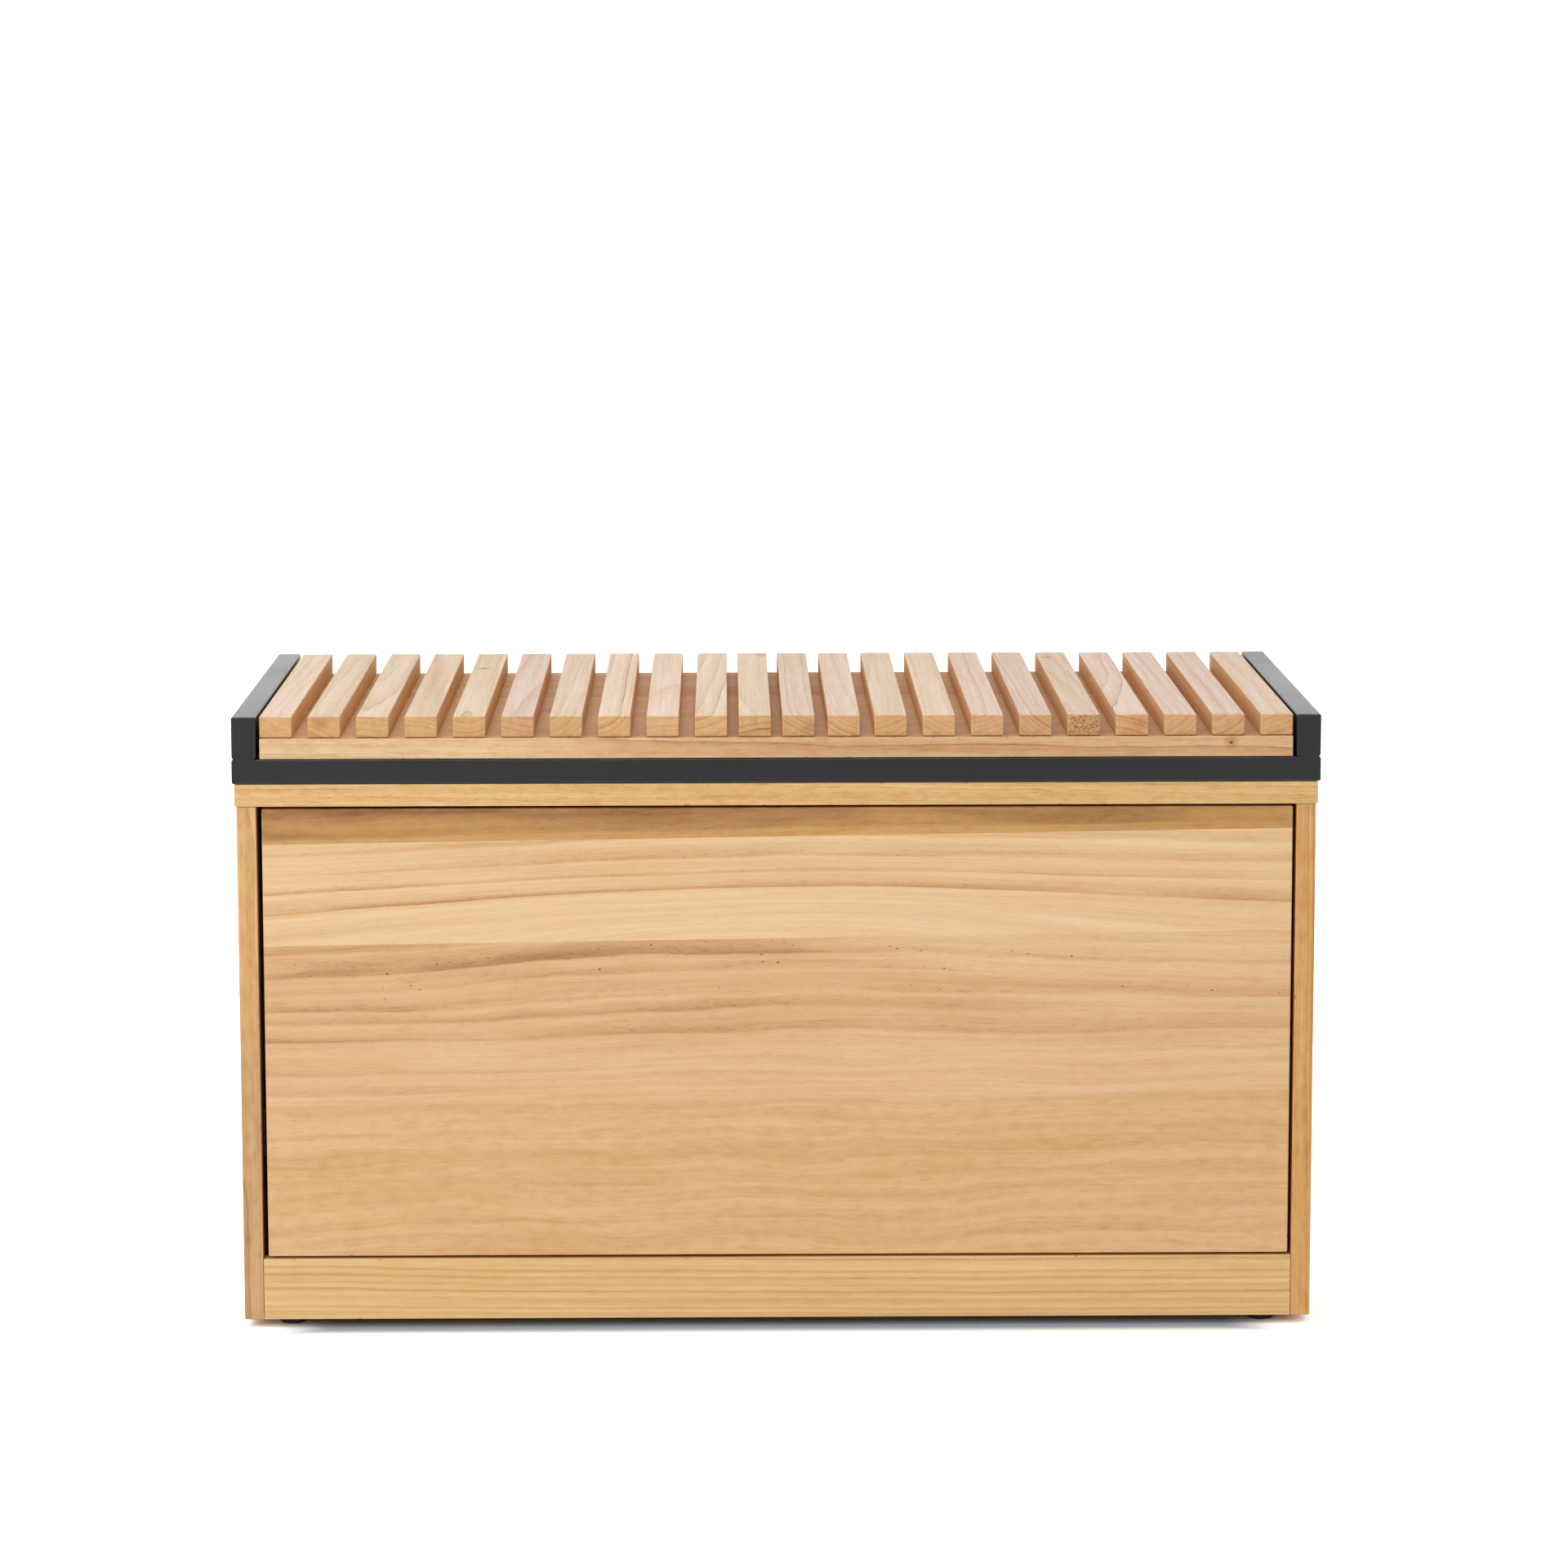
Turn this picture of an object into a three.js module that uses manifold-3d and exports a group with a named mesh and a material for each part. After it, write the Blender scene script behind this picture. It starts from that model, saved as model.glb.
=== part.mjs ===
// Storage box: a wooden carcass with one wide push-to-open drawer, and on top a metal frame that holds a
// slatted seat. Lengths are in millimetres, +Z is up and the drawer opens towards -Y, so +X is on the right
// of someone who faces the drawer. The origin is on the ground under the middle of the box.
import * as THREE from "three";
import { mergeVertices } from "three/addons/utils/BufferGeometryUtils.js";
import Module from "manifold-3d";

const wasm = await Module();
wasm.setup();

// Whole box
const WIDTH = 1000; // over the metal frame, the widest piece
const DEPTH = 500;
const FIT = 0.3; // clearance between two pieces that touch
const OVERSHOOT = 1; // how far a cutter runs past the face that it opens

// Carcass
const GLIDE_HEIGHT = 8;
const GLIDE_RADIUS = 13;
const GLIDE_BASE_RADIUS = 9.5;
const GLIDE_RIM = 4; // height at which the dome reaches its full radius
const GLIDE_INSET_X = 43; // from the carcass's side to a glide's middle
const GLIDE_INSET_Y = 27;
const SIDE_HEIGHT = 482.6;
const SIDE_THICKNESS = 18;
const SIDE_INSET = 3.5; // the side panels stand this far inside the metal frame
const CARCASS_SETBACK = 2; // the carcass's front and back stand this far behind the metal frame's
const TOP_THICKNESS = 21;
const TOP_INSET = 2;
const TOP_SETBACK = 1;
const RAIL_HEIGHT = 57.4;
const RAIL_THICKNESS = 18;
const BOTTOM_THICKNESS = 18;
const BACK_THICKNESS = 12;
const BACK_RECESS = 3; // from the side panels' back edges
const BACK_HOUSING = 6; // how deep the back panel's edges sit in the side panels

// Metal frame
const TUBE_WIDTH = 22.5;
const TUBE_HEIGHT = 23;
const TUBE_WALL = 1.5;
const MITRE_GAP = 0.45; // along each tube, at its mitred ends
const VENT_RADIUS = 4; // lets air and coating in and out of the closed end bars
const VENT_SIDES = 16;

// Seat
const SEAT_THICKNESS = 19.3;
const SEAT_GAP = 3.2; // between the seat board and each end bar
const SEAT_SETBACK = 1;
const SLAT_COUNT = 22;
const SLAT_WIDTH = 29.5;
const SLAT_THICKNESS = 20;
const SLAT_SETBACK = 4;
const MIDDLE_GAPS = new Map([
  [10, 10.7], // the gaps after slats 10 to 13 are laid closer than the others
  [11, 10.5],
  [12, 12.2],
  [13, 13.5],
]);

// Drawer
const FRONT_THICKNESS = 20;
const FRONT_SETBACK = 1; // behind the side panels' front edges
const FRONT_GAP_LEFT = 4.9;
const FRONT_GAP_RIGHT = 3.2;
const FRONT_GAP_TOP = 2.2;
const FRONT_GAP_BOTTOM = 2.4;
const DRAWER_LENGTH = 420; // the drawer box behind the front
const DRAWER_HEIGHT = 350;
const DRAWER_LIFT = 12; // the drawer box's lower edge above the bottom rail
const DRAWER_WALL = 15;
const DRAWER_BOTTOM = 9;
const GROOVE_DEPTH = 6;
const GROOVE_LIFT = 12; // the bottom's groove above the drawer sides' lower edges

// Runners: three nested channels on each side
const RUNNER_LENGTH = 400;
const RUNNER_WIDTH = 12.7;
const RUNNER_SHEET = 1.2;
const RUNNER_SECTIONS = {
  // across the runner from the side panel: where the web starts, and where the flanges end
  cabinet: { web: 0, reach: 9.5, height: 45, lip: 3 },
  middle: { web: 5.2, left: 2.4, right: 9.6, height: 33 },
  drawer: { web: RUNNER_WIDTH, reach: -4.8, height: 25 },
};
const RUNNER_CENTRE = 115; // above the bottom rail
const RUNNER_SETBACK = 26; // from the carcass's front to the runners' front ends

// Push latches
const LATCH_OFFSET = 300; // from the middle of the box to each latch
const LATCH_RISE = 160; // above the bottom rail
const LATCH_FLANGE = [44, 3, 26];
const LATCH_HOUSING = [18, 30, 18];
const PLUNGER_RADIUS = 4;
const PLUNGER_LENGTH = 25;
const PLUNGER_STANDOFF = 0.4; // from the closed drawer's back
const BORE_CLEARANCE = 0.6;
const BORE_DEPTH = 26;
const ROUND_SIDES = 24;

// Screws that hold the drawer front to the drawer box
const SCREW_HEAD_RADIUS = 5;
const SCREW_TOP_RADIUS = 3;
const SCREW_HEAD_HEIGHT = 3;
const SCREW_SHANK_RADIUS = 2;
const SCREW_REACH = 10; // into the drawer front
const SCREW_CLEARANCE = 0.4;
const SCREW_SIDES = 12;
const SCREW_OFFSET = 380; // from the middle of the box
const SCREW_EDGE = 70; // from the drawer box's upper and lower edges

// Levels above the ground
const carcassBottom = GLIDE_HEIGHT;
const railTop = carcassBottom + RAIL_HEIGHT;
const carcassTop = carcassBottom + SIDE_HEIGHT;
const frameBottom = carcassTop + TOP_THICKNESS;
const frameTop = frameBottom + TUBE_HEIGHT;
const slatBottom = frameTop + SEAT_THICKNESS;
const boxTop = slatBottom + SLAT_THICKNESS;

// Places across and along the box
const carcassHalf = WIDTH / 2 - SIDE_INSET;
const insideHalf = carcassHalf - SIDE_THICKNESS;
const carcassFront = -DEPTH / 2 + CARCASS_SETBACK;
const carcassBack = -carcassFront;
const panelBack = carcassBack - BACK_RECESS;
const panelFront = panelBack - BACK_THICKNESS;
const frontFace = carcassFront + FRONT_SETBACK;
const drawerStart = frontFace + FRONT_THICKNESS + FIT;
const drawerEnd = drawerStart + DRAWER_LENGTH;
const drawerLow = railTop + DRAWER_LIFT;
const drawerHigh = drawerLow + DRAWER_HEIGHT;
const drawerHalf = insideHalf - RUNNER_WIDTH - 2 * FIT;
const drawerInside = drawerHalf - DRAWER_WALL;
const grooveLow = drawerLow + GROOVE_LIFT;
const grooveHigh = grooveLow + DRAWER_BOTTOM + 2 * FIT;

function finish(color, roughness, metalness = 0) {
  return new THREE.MeshStandardMaterial({ color, roughness, metalness });
}

const honeyWood = finish(0xdfb37c, 0.5);
const frontWood = finish(0xdcb283, 0.5);
const paleWood = finish(0xe4ceb7, 0.6);
const drawerWood = finish(0xe2c9a0, 0.6);
const coatedMetal = finish(0x36393b, 0.45, 0.2);
const zincSteel = finish(0xb9bcc0, 0.35, 0.9);
const blackSteel = finish(0x262729, 0.4, 0.3);
const darkPlastic = finish(0x2a211d, 0.5);
const greyPlastic = finish(0xb4b6b8, 0.5);
const softTip = finish(0x4a4c4e, 0.8);

const size = ([low, high]) => high - low;
const middle = ([low, high]) => (low + high) / 2;
const around = (centre, width) => [centre - width / 2, centre + width / 2];

// A box between two limits along each axis.
function block(x, y, z) {
  const box = new THREE.BoxGeometry(size(x), size(y), size(z));
  return box.translate(middle(x), middle(y), middle(z));
}

// A round bar along Y between two limits.
function barAlongY(radius, sides, x, [start, end], z) {
  const bar = new THREE.CylinderGeometry(radius, radius, end - start, sides);
  return bar.translate(x, (start + end) / 2, z);
}

function toSolid(geometry) {
  const bare = geometry.clone();
  bare.deleteAttribute("normal");
  bare.deleteAttribute("uv");
  const merged = mergeVertices(bare, 1e-4);
  const mesh = new wasm.Mesh({
    numProp: 3,
    vertProperties: merged.attributes.position.array,
    triVerts: new Uint32Array(merged.index.array),
  });
  return new wasm.Manifold(mesh);
}

function toGeometry(solid) {
  const { vertProperties, triVerts } = solid.getMesh();
  const indexed = new THREE.BufferGeometry();
  indexed.setAttribute("position", new THREE.BufferAttribute(vertProperties, 3));
  indexed.setIndex(new THREE.BufferAttribute(triVerts, 1));
  const geometry = indexed.toNonIndexed();
  geometry.computeVertexNormals();
  return geometry;
}

function carve(geometry, cutters) {
  const solid = cutters.reduce((rest, cutter) => rest.subtract(toSolid(cutter)), toSolid(geometry));
  return toGeometry(solid);
}

function fuse(...geometries) {
  const [first, ...others] = geometries.map(toSolid);
  return toGeometry(others.reduce((whole, other) => whole.add(other), first));
}

// Adds one piece as a mesh whose own origin is the middle of its box.
function add(parent, name, material, geometry) {
  geometry.computeBoundingBox();
  const centre = geometry.boundingBox.getCenter(new THREE.Vector3());
  const mesh = new THREE.Mesh(geometry.translate(-centre.x, -centre.y, -centre.z), material);
  mesh.name = name;
  mesh.position.copy(centre);
  parent.add(mesh);
}

// Calls make once for each side, with -1 on the left and 1 on the right.
function bothSides(make) {
  make("left", -1);
  make("right", 1);
}

// The limits of a piece that starts at a face `from` the middle and runs outwards or inwards, on one side.
const onSide = (side, a, b) => [side * a, side * b].sort((low, high) => low - high);

function carcass() {
  const group = new THREE.Group();
  const along = [carcassFront, carcassBack];
  const between = [-insideHalf + FIT, insideHalf - FIT];

  bothSides((word, side) => {
    const panel = block(onSide(side, insideHalf, carcassHalf), along, [carcassBottom, carcassTop]);
    const housing = block(
      onSide(side, insideHalf - OVERSHOOT, insideHalf + BACK_HOUSING),
      [panelFront - FIT, panelBack + FIT],
      [railTop, carcassTop + OVERSHOOT],
    );
    add(group, `side_panel_${word}`, honeyWood, carve(panel, [housing]));
  });

  const topHalf = WIDTH / 2 - TOP_INSET;
  const topDepth = DEPTH - 2 * TOP_SETBACK;
  const topBoard = block([-topHalf, topHalf], around(0, topDepth), [carcassTop + FIT, frameBottom]);
  add(group, "top_board", honeyWood, topBoard);

  const railLevels = [carcassBottom, railTop];
  const frontRail = block(between, [carcassFront, carcassFront + RAIL_THICKNESS], railLevels);
  const backRail = block(between, [carcassBack - RAIL_THICKNESS, carcassBack], railLevels);
  add(group, "front_bottom_rail", honeyWood, frontRail);
  add(group, "back_bottom_rail", honeyWood, backRail);

  const betweenRails = around(0, size(along) - 2 * (RAIL_THICKNESS + FIT));
  const bottomLevels = [carcassBottom, carcassBottom + BOTTOM_THICKNESS];
  add(group, "bottom_board", honeyWood, block(between, betweenRails, bottomLevels));

  const backHalf = insideHalf + BACK_HOUSING - FIT;
  const backPanel = block([-backHalf, backHalf], [panelFront, panelBack], [railTop + FIT, carcassTop]);
  add(group, "back_panel", honeyWood, backPanel);
  return group;
}

// A low domed foot with a flat base, standing on the ground.
function glide() {
  const top = GLIDE_HEIGHT - FIT;
  const profile = new THREE.Path();
  profile.moveTo(0, 0);
  profile.lineTo(GLIDE_BASE_RADIUS, 0);
  profile.quadraticCurveTo(GLIDE_RADIUS, 0, GLIDE_RADIUS, GLIDE_RIM);
  profile.lineTo(GLIDE_RADIUS, top);
  profile.lineTo(0, top);
  const lathe = new THREE.LatheGeometry(profile.getPoints(4), ROUND_SIDES);
  return lathe.rotateX(Math.PI / 2);
}

function glides() {
  const group = new THREE.Group();
  bothSides((word, side) => {
    const x = side * (carcassHalf - GLIDE_INSET_X);
    const y = carcassBack - GLIDE_INSET_Y;
    add(group, `glide_front_${word}`, darkPlastic, glide().translate(x, -y, 0));
    add(group, `glide_back_${word}`, darkPlastic, glide().translate(x, y, 0));
  });
  return group;
}

// A square tube mitred at both ends. Its outer face lies on the line y = 0 and it runs `length` along X.
function mitredTube(length, height) {
  const half = length / 2;
  const outline = new THREE.Shape([
    new THREE.Vector2(-half, 0),
    new THREE.Vector2(half, 0),
    new THREE.Vector2(half - TUBE_WIDTH, TUBE_WIDTH),
    new THREE.Vector2(-half + TUBE_WIDTH, TUBE_WIDTH),
  ]);
  const outside = new THREE.ExtrudeGeometry(outline, { depth: height, bevelEnabled: false });
  const across = [TUBE_WALL, TUBE_WIDTH - TUBE_WALL];
  const inside = block([-length, length], across, [TUBE_WALL, height - TUBE_WALL]);
  return carve(outside, [inside]);
}

function metalFrame() {
  const group = new THREE.Group();
  const low = frameBottom + FIT;
  const height = frameTop - low;
  const crossTube = () => mitredTube(WIDTH, height).translate(0, -DEPTH / 2, 0);
  const sideTube = () => mitredTube(DEPTH - 2 * MITRE_GAP, height).translate(0, -WIDTH / 2, 0);
  const quarterTurn = Math.PI / 2;
  add(group, "frame_tube_front", coatedMetal, crossTube().translate(0, 0, low));
  add(group, "frame_tube_back", coatedMetal, crossTube().rotateZ(2 * quarterTurn).translate(0, 0, low));
  add(group, "frame_tube_left", coatedMetal, sideTube().rotateZ(-quarterTurn).translate(0, 0, low));
  add(group, "frame_tube_right", coatedMetal, sideTube().rotateZ(quarterTurn).translate(0, 0, low));

  // The end bars are closed at both ends, with a vent hole underneath.
  bothSides((word, side) => {
    const x = onSide(side, WIDTH / 2 - TUBE_WIDTH, WIDTH / 2);
    const z = [frameTop + FIT, boxTop];
    const shrink = ([start, end]) => [start + TUBE_WALL, end - TUBE_WALL];
    const outside = block(x, around(0, DEPTH), z);
    const inside = block(shrink(x), around(0, DEPTH - 2 * TUBE_WALL), shrink(z));
    const vent = new THREE.CylinderGeometry(VENT_RADIUS, VENT_RADIUS, 3 * TUBE_WALL, VENT_SIDES);
    vent.rotateX(Math.PI / 2).translate(middle(x), 0, z[0]);
    add(group, `end_bar_${word}`, coatedMetal, carve(outside, [inside, vent]));
  });
  return group;
}

function seat() {
  const group = new THREE.Group();
  const half = WIDTH / 2 - TUBE_WIDTH - SEAT_GAP;
  const boardDepth = DEPTH - 2 * SEAT_SETBACK;
  const board = block([-half, half], around(0, boardDepth), [frameTop + FIT, slatBottom]);
  add(group, "seat_board", paleWood, board);

  const middleGaps = [...MIDDLE_GAPS.values()].reduce((sum, gap) => sum + gap, 0);
  const otherGaps = SLAT_COUNT - 1 - MIDDLE_GAPS.size;
  const gap = (2 * half - SLAT_COUNT * SLAT_WIDTH - middleGaps) / otherGaps;
  let left = -half;
  for (let number = 1; number <= SLAT_COUNT; number++) {
    const x = [left, left + SLAT_WIDTH];
    const slat = block(x, around(0, DEPTH - 2 * SLAT_SETBACK), [slatBottom + FIT, boxTop]);
    add(group, `slat_${String(number).padStart(2, "0")}`, paleWood, slat);
    left += SLAT_WIDTH + (MIDDLE_GAPS.get(number) ?? gap);
  }
  return group;
}

// The middles of the drawer front's screws, as [x, z].
const screwPlaces = [-SCREW_OFFSET, SCREW_OFFSET].flatMap((x) => [
  [x, drawerLow + SCREW_EDGE],
  [x, drawerHigh - SCREW_EDGE],
]);
const innerFrontBack = drawerStart + DRAWER_WALL;
const screwTip = frontFace + FRONT_THICKNESS - SCREW_REACH;

function screwHole([x, z]) {
  const along = [screwTip - FIT, innerFrontBack + OVERSHOOT];
  return barAlongY(SCREW_SHANK_RADIUS + SCREW_CLEARANCE, SCREW_SIDES, x, along, z);
}

// A pan-head screw, driven towards -Y.
function screw([x, z]) {
  const seatFace = innerFrontBack + FIT;
  const headEnd = seatFace + SCREW_HEAD_HEIGHT;
  const radii = [SCREW_TOP_RADIUS, SCREW_HEAD_RADIUS];
  const head = new THREE.CylinderGeometry(...radii, SCREW_HEAD_HEIGHT, SCREW_SIDES);
  head.translate(x, (seatFace + headEnd) / 2, z);
  const shank = barAlongY(SCREW_SHANK_RADIUS, SCREW_SIDES, x, [screwTip, seatFace + OVERSHOOT], z);
  return fuse(head, shank);
}

function drawer() {
  const group = new THREE.Group();
  const levels = [drawerLow, drawerHigh];
  const between = [-drawerInside + FIT, drawerInside - FIT];

  const front = block(
    [-insideHalf + FRONT_GAP_LEFT, insideHalf - FRONT_GAP_RIGHT],
    [frontFace, frontFace + FRONT_THICKNESS],
    [railTop + FRONT_GAP_BOTTOM, carcassTop - FRONT_GAP_TOP],
  );
  add(group, "drawer_front", frontWood, carve(front, screwPlaces.map(screwHole)));

  const grooveLevels = [grooveLow, grooveHigh];
  const innerFront = block(between, [drawerStart, innerFrontBack], levels);
  const frontGroove = block(
    [-WIDTH, WIDTH],
    [innerFrontBack - GROOVE_DEPTH, innerFrontBack + OVERSHOOT],
    grooveLevels,
  );
  const innerFrontCuts = [frontGroove, ...screwPlaces.map(screwHole)];
  add(group, "drawer_inner_front", drawerWood, carve(innerFront, innerFrontCuts));

  bothSides((word, side) => {
    const wall = block(onSide(side, drawerInside, drawerHalf), [drawerStart, drawerEnd], levels);
    const grooveAcross = onSide(side, drawerInside - OVERSHOOT, drawerInside + GROOVE_DEPTH);
    const grooveAlong = [innerFrontBack - GROOVE_DEPTH, drawerEnd + OVERSHOOT];
    const groove = block(grooveAcross, grooveAlong, grooveLevels);
    add(group, `drawer_side_${word}`, drawerWood, carve(wall, [groove]));
  });

  const bottomHalf = drawerInside + GROOVE_DEPTH - FIT;
  const bottomAlong = [innerFrontBack - GROOVE_DEPTH + FIT, drawerEnd];
  const bottomLevels = [grooveLow + FIT, grooveHigh - FIT];
  add(group, "drawer_bottom", drawerWood, block([-bottomHalf, bottomHalf], bottomAlong, bottomLevels));
  const back = block(between, [drawerEnd - DRAWER_WALL, drawerEnd], [bottomLevels[1] + FIT, drawerHigh]);
  add(group, "drawer_back", drawerWood, back);

  screwPlaces.forEach((place, index) => {
    add(group, `front_screw_${index + 1}`, zincSteel, screw(place));
  });
  return group;
}

// A channel of folded sheet, as an outline in X (0 at its web) and Y (up), which is then run along Y.
// The lips, where there are any, turn towards the channel's middle.
function channel({ web, reach, height, lip = 0 }) {
  const half = height / 2;
  const upper = [[web + reach, half]];
  if (lip) {
    upper.push([web + reach, half - lip], [web + reach - RUNNER_SHEET, half - lip]);
    upper.push([web + reach - RUNNER_SHEET, half - RUNNER_SHEET]);
  } else {
    upper.push([web + reach, half - RUNNER_SHEET]);
  }
  upper.push([web + Math.sign(reach) * RUNNER_SHEET, half - RUNNER_SHEET]);
  const lower = upper.map(([x, y]) => [x, -y]).reverse();
  const points = [[web, half], ...upper, ...lower, [web, -half]];
  return new THREE.Shape(points.map(([x, y]) => new THREE.Vector2(x, y)));
}

// Both flanges of the middle member stand out to either side of its web.
function doubleChannel({ web, left, right, height }) {
  const half = height / 2;
  const inner = half - RUNNER_SHEET;
  const wall = web + RUNNER_SHEET;
  const upper = [[left, half], [right, half], [right, inner], [wall, inner]];
  const lower = [[wall, -inner], [right, -inner], [right, -half], [left, -half], [left, -inner]];
  const points = [...upper, ...lower, [web, -inner], [web, inner], [left, inner]];
  return new THREE.Shape(points.map(([x, y]) => new THREE.Vector2(x, y)));
}

function alongRunner(shape) {
  const bar = new THREE.ExtrudeGeometry(shape, { depth: RUNNER_LENGTH, bevelEnabled: false });
  bar.rotateX(Math.PI / 2);
  const front = carcassFront + RUNNER_SETBACK;
  return bar.translate(0, front + RUNNER_LENGTH, railTop + RUNNER_CENTRE);
}

function runners() {
  const group = new THREE.Group();
  const outline = (section) => (section.left ? doubleChannel(section) : channel(section));
  bothSides((word, side) => {
    for (const [member, section] of Object.entries(RUNNER_SECTIONS)) {
      const bar = alongRunner(outline(section)).translate(-insideHalf + FIT, 0, 0);
      if (side > 0) {
        const centreY = carcassFront + RUNNER_SETBACK + RUNNER_LENGTH / 2;
        bar.translate(0, -centreY, 0).rotateZ(Math.PI).translate(0, centreY, 0);
      }
      add(group, `runner_${member}_${word}`, blackSteel, bar);
    }
  });
  return group;
}

function latches() {
  const group = new THREE.Group();
  const z = railTop + LATCH_RISE;
  const tip = drawerEnd + PLUNGER_STANDOFF;
  const flangeBack = panelFront - FIT;
  const housingBack = flangeBack - LATCH_FLANGE[1] + OVERSHOOT;
  const housingFront = housingBack - LATCH_HOUSING[1];
  bothSides((word, side) => {
    const x = side * LATCH_OFFSET;
    const flange = block(
      around(x, LATCH_FLANGE[0]),
      [flangeBack - LATCH_FLANGE[1], flangeBack],
      around(z, LATCH_FLANGE[2]),
    );
    const housing = block(
      around(x, LATCH_HOUSING[0]),
      [housingFront, housingBack],
      around(z, LATCH_HOUSING[2]),
    );
    const boreRadius = PLUNGER_RADIUS + BORE_CLEARANCE;
    const boreAlong = [housingFront - OVERSHOOT, housingFront + BORE_DEPTH];
    const bore = barAlongY(boreRadius, ROUND_SIDES, x, boreAlong, z);
    add(group, `latch_body_${word}`, greyPlastic, carve(fuse(flange, housing), [bore]));

    const profile = new THREE.Path();
    profile.moveTo(0, 0);
    profile.quadraticCurveTo(PLUNGER_RADIUS, 0, PLUNGER_RADIUS, 0.5 * PLUNGER_RADIUS);
    profile.lineTo(PLUNGER_RADIUS, PLUNGER_LENGTH);
    profile.lineTo(0, PLUNGER_LENGTH);
    const plunger = new THREE.LatheGeometry(profile.getPoints(4), ROUND_SIDES);
    add(group, `latch_plunger_${word}`, softTip, plunger.translate(x, tip, z));
  });
  return group;
}

const storageBox = new THREE.Group();
storageBox.add(carcass(), glides(), metalFrame(), seat(), drawer(), runners(), latches());
export default storageBox;
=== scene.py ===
"""Storage box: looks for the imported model.

A honey-coloured pine carcass with one push-to-open drawer, and on top a coated metal frame round a slatted
seat. Everything is in metres in the row's frame, and the drawer opens towards -Y.
"""
import math
import random
from collections import namedtuple

import bpy
from mathutils import Matrix, Vector, noise


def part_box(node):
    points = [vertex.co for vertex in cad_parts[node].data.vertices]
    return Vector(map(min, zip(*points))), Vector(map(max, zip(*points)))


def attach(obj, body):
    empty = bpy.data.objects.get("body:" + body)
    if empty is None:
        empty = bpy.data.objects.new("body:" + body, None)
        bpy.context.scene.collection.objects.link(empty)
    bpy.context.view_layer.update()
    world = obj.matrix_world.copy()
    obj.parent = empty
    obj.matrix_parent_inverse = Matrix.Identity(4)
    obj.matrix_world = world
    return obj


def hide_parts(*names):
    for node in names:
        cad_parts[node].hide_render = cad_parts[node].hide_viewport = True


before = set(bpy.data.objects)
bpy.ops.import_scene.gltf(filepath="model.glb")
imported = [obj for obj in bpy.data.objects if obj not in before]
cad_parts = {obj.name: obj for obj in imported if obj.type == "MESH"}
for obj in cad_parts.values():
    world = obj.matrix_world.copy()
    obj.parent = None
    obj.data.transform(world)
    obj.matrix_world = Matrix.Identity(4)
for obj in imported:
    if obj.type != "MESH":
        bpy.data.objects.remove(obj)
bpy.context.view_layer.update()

MM = 0.001
SLATS = [f"slat_{number:02d}" for number in range(1, 23)]
WAYS = {"left": -1, "right": 1}  # along X
ENDS = {"front": -1, "back": 1}  # along Y
TUBES = {"front": 0, "back": 0, "left": 1, "right": 1}  # the axis along which each tube of the frame runs
rng = random.Random(17)

# How far edges are rounded, and how far from them wood and paint are worn
BOARD_ROUND, BOARD_WEAR = 0.8 * MM, 1.8 * MM
SLAT_ROUND, SLAT_WEAR = 1.0 * MM, 1.6 * MM
FRONT_ROUND, FRONT_WEAR = 1.5 * MM, 2.2 * MM
TUBE_ROUND, TUBE_WEAR = 1.9 * MM, 2.2 * MM

# Drawer front
GLUE_SLOPE = 0.0132  # how much the glue lines climb to the right
ARCH_MIDDLE = -0.02  # the second stave's figure is one broad arch: where it stands along X
ARCH_SPREAD = 0.33
ARCH_END = 0.26  # the depth at which the arch has died away, down the third stave
PIT_DEPTH = 0.171  # resin pits lie in a band about this depth
RING_FALL = 2.2  # mm in which the wood turns pale again past a ring
RING_RISE = 1.7  # power of the slow darkening up to a ring

# Welds
SEAM_STEPS = 16
BEAD_RADIUS = 0.9 * MM
BEAD_SIDES = 10

# Screws: the radius and height of each kind's head
SCREW_SIDES = 24
FRONT_SCREW_HEAD = 3.0 * MM
LATCH_SCREW = (3.1 * MM, 1.8 * MM)
LATCH_SCREW_OFFSET = 15.5 * MM
LATCH_FLANGE = 3.0 * MM
RUNNER_SCREW = (3.2 * MM, 1.3 * MM)
RUNNER_SCREW_PLACES = (0.09, 0.5, 0.91)  # as shares of the runner's length
RUNNER_SHEET = 1.2 * MM

# Stage: the painted shadow's reach on the floor past the front, and where it grows weak towards the sides
FLOOR_REACH = 60.0
SHADOW_START, SHADOW_END = 6 * MM, 46 * MM
SHADOW_WEAK, SHADOW_WEAKEST = 0.41, 0.5
WORLD_FRONT, WORLD_BACK, WORLD_SEEN = 0.66, 1.06, 1.1  # how bright the surround is
AIM = (0.0, 0.0, 0.4)  # what the lights point at


def srgb(red, green, blue):
    """A colour given in 0-255 steps, as the linear colour that shaders take."""
    def linear(step):
        c = step / 255
        return c / 12.92 if c <= 0.04045 else ((c + 0.055) / 1.055) ** 2.4
    return (linear(red), linear(green), linear(blue), 1.0)


# ---- Node helpers

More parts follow.
